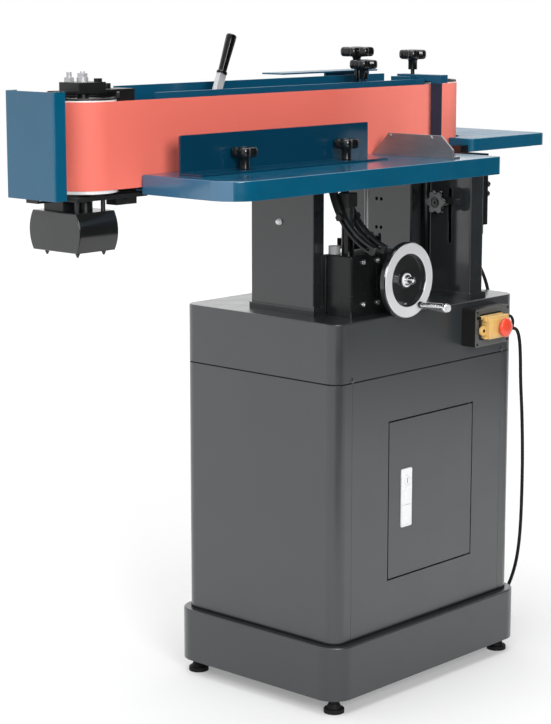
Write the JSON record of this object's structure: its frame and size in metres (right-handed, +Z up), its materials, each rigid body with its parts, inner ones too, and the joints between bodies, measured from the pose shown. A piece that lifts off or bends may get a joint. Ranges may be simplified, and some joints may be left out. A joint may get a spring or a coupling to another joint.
{
  "type": "oscillating edge sander",
  "caption": "Stationary edge sander: an upright abrasive belt round two drums over a tilting, lifting work table, on a cabinet stand with a door.",
  "frame": {"origin": "on the floor, under the middle of the machine without its mains cord", "axes": "+X along the belt, to the operator's right; -Y towards the operator; +Z up"},
  "size_m": [1.311, 0.513, 1.287],
  "materials": {
    "blue_paint": "gloss enamel",
    "gray_paint": "semi-gloss enamel",
    "black_paint": "semi-gloss enamel",
    "blue_casting": "gloss enamel on machined iron",
    "black_casting": "satin enamel",
    "steel": "bright",
    "polished_steel": "polished",
    "aluminium": "turned",
    "black_plastic": "satin",
    "black_rubber": "matt",
    "yellow_plastic": "gloss",
    "red_plastic": "gloss",
    "green_plastic": "gloss",
    "abrasive": "grit coated cloth",
    "graphite": "graphite coated canvas",
    "latch_zinc": "zinc plated"
  },
  "bodies": {
    "stand": {"base_skirt": "gray_paint", "leveling_feet": "black_rubber", "cabinet_shell": "gray_paint", "front_panel": "gray_paint", "top_box": "gray_paint", "switch_box": "black_plastic", "cable_glands": "black_plastic", "left_column": "gray_paint", "mid_column": "gray_paint", "right_column": "gray_paint", "column_bolts": "steel", "lift_housing": "black_casting", "platen_frame": "blue_paint", "platen_pad": "graphite", "drive_motor": "black_paint", "rear_cover": "blue_paint", "tension_spring": "steel", "motor_cable": "black_rubber", "switch_lead": "black_rubber", "mains_cord": "black_rubber", "cord_coil": "black_rubber", "cord_tie": "black_rubber", "mains_plug": "black_plastic"},
    "carriage": {"idler_bracket": "black_casting", "idler_fasteners": "steel", "gearbox_cover": "black_paint", "left_end_cover": "blue_paint"},
    "spindle": {"idle_axle": "steel", "idle_bearings": "steel"},
    "idler": {"idle_drum": "aluminium"},
    "cam": {"oscillation_cam": "steel"},
    "belt": {"sanding_belt": "abrasive"},
    "driver": {"drive_drum": "aluminium"},
    "lever": {"tension_lever": "steel", "lever_grip": "black_rubber"},
    "tracking": {"tracking_knob": "black_plastic"},
    "tracking_lock": {"tracking_lock_knob": "black_plastic"},
    "guard": {"edge_guard": "blue_paint"},
    "guard_knob": {"edge_guard_knob": "black_plastic"},
    "lift": {"lift_post": "black_casting", "lift_saddle": "black_casting"},
    "table": {"main_table": "blue_casting", "table_trunnions": "black_casting", "work_stop": "polished_steel"},
    "fence": {"fence": "blue_paint"},
    "fence_clamp_left": {"fence_knob_left": "black_plastic"},
    "fence_clamp_right": {"fence_knob_right": "black_plastic"},
    "screw": {"lead_screw": "steel"},
    "wheel": {"handwheel_shaft": "steel", "handwheel": "aluminium"},
    "crank": {"crank_handle": "polished_steel"},
    "end_table": {"end_table": "blue_casting", "end_table_arm": "black_paint"},
    "end_clamp": {"end_table_knob": "black_plastic"},
    "door": {"cabinet_door": "gray_paint", "latch_plate": "latch_zinc"},
    "paddle": {"latch_paddle": "latch_zinc"},
    "flap": {"switch_cover": "yellow_plastic"},
    "stop": {"stop_button": "red_plastic"},
    "start": {"start_button": "green_plastic"}
  },
  "joints": [
    {"name": "door_hinge", "type": "hinge", "parent": "stand", "child": "door", "pos_m": [0.3248, -0.1555, 0.392], "axis": [0, 0, 1], "range_deg": [0, 105]},
    {"name": "latch_paddle_hinge", "type": "hinge", "parent": "door", "child": "paddle", "pos_m": [0.1205, -0.16125, 0.3759], "axis": [-1, 0, 0], "range_deg": [0, 45], "stiffness_Nm_per_rad": 0.002},
    {"name": "switch_flap_hinge", "type": "hinge", "parent": "stand", "child": "flap", "pos_m": [0.334, -0.199, 0.728], "axis": [-1, 0, 0], "range_deg": [0, 88]},
    {"name": "stop_button_push", "type": "slide", "parent": "flap", "child": "stop", "axis": [0, 1, 0], "range_m": [0, 0.005], "stiffness_N_per_m": 600},
    {"name": "start_button_push", "type": "slide", "parent": "stand", "child": "start", "axis": [0, 1, 0], "range_m": [0, 0.004], "stiffness_N_per_m": 600},
    {"name": "idler_slide", "type": "slide", "parent": "stand", "child": "carriage", "axis": [1, 0, 0], "range_m": [0, 0.008], "deforming": ["tension_spring"]},
    {"name": "tension_lever_swing", "type": "hinge", "parent": "stand", "child": "lever", "pos_m": [-0.216, 0.029, 1.16], "axis": [0, 1, 0], "range_deg": [0, 40]},
    {"name": "oscillation_slide", "type": "slide", "parent": "carriage", "child": "spindle", "axis": [0, 0, 1], "range_m": [0, 0.005]},
    {"name": "belt_oscillation", "type": "slide", "parent": "stand", "child": "belt", "axis": [0, 0, 1], "range_m": [0, 0.005]},
    {"name": "drive_spin", "type": "hinge", "parent": "stand", "child": "driver", "pos_m": [0.411, 0.029, 1.1], "axis": [0, 0, 1], "continuous": true},
    {"name": "idler_spin", "type": "hinge", "parent": "spindle", "child": "idler", "pos_m": [-0.53522, 0.029, 1.1], "axis": [0, 0, 1], "continuous": true},
    {"name": "cam_spin", "type": "hinge", "parent": "carriage", "child": "cam", "pos_m": [-0.53522, 0.029, 0.952], "axis": [1, 0, 0], "continuous": true},
    {"name": "tracking_knob_turn", "type": "hinge", "parent": "stand", "child": "tracking", "pos_m": [0.205, 0.045, 1.2], "axis": [0, 0, 1], "range_deg": [-180, 180]},
    {"name": "tracking_lock_turn", "type": "hinge", "parent": "stand", "child": "tracking_lock", "pos_m": [0.185, 0.01, 1.2], "axis": [0, 0, 1], "range_deg": [-180, 180]},
    {"name": "edge_guard_slide", "type": "slide", "parent": "stand", "child": "guard", "axis": [0, -1, 0], "range_m": [0, 0.02]},
    {"name": "edge_guard_knob_turn", "type": "hinge", "parent": "stand", "child": "guard_knob", "pos_m": [0.345, 0.016, 1.22], "axis": [0, 0, 1], "range_deg": [-180, 180]},
    {"name": "handwheel_turn", "type": "hinge", "parent": "stand", "child": "wheel", "pos_m": [0.1025, -0.14, 0.822], "axis": [0, -1, 0], "range_deg": [0, 3600]},
    {"name": "table_lift", "type": "slide", "parent": "stand", "child": "lift", "axis": [0, 0, 1], "range_m": [0, 0.08]},
    {"name": "lead_screw_turn", "type": "hinge", "parent": "stand", "child": "screw", "pos_m": [0.1025, -0.071, 0.9], "axis": [0, 0, 1], "range_deg": [0, 3600]},
    {"name": "crank_handle_spin", "type": "hinge", "parent": "wheel", "child": "crank", "pos_m": [0.131, -0.22, 0.77264], "axis": [0, -1, 0], "continuous": true},
    {"name": "table_tilt", "type": "hinge", "parent": "lift", "child": "table", "pos_m": [0.03, -0.214, 1.034], "axis": [1, 0, 0], "range_deg": [0, 30]},
    {"name": "fence_slide", "type": "slide", "parent": "table", "child": "fence", "axis": [0, 1, 0], "range_m": [0, 0.02]},
    {"name": "fence_knob_left_turn", "type": "hinge", "parent": "table", "child": "fence_clamp_left", "pos_m": [-0.2824, -0.112, 1.08], "axis": [0, 0, 1], "range_deg": [-180, 180]},
    {"name": "fence_knob_right_turn", "type": "hinge", "parent": "table", "child": "fence_clamp_right", "pos_m": [-0.0077, -0.112, 1.08], "axis": [0, 0, 1], "range_deg": [-180, 180]},
    {"name": "end_table_slide", "type": "slide", "parent": "stand", "child": "end_table", "axis": [0, 0, 1], "range_m": [-0.08, 0.02]},
    {"name": "end_table_knob_turn", "type": "hinge", "parent": "end_table", "child": "end_clamp", "pos_m": [0.345, -0.0895, 0.95], "axis": [1, 0, 0], "range_deg": [-180, 180]}
  ],
  "couplings": [
    {"joint": "tension_lever_swing", "follows": "idler_slide", "rad_per_m": 87.266},
    {"joint": "belt_oscillation", "follows": "oscillation_slide", "ratio": 1},
    {"joint": "idler_spin", "follows": "drive_spin", "ratio": 1},
    {"joint": "cam_spin", "follows": "drive_spin", "ratio": 0.04},
    {"joint": "table_lift", "follows": "handwheel_turn", "m_per_rad": 0.0012732},
    {"joint": "lead_screw_turn", "follows": "handwheel_turn", "ratio": 1}
  ]
}
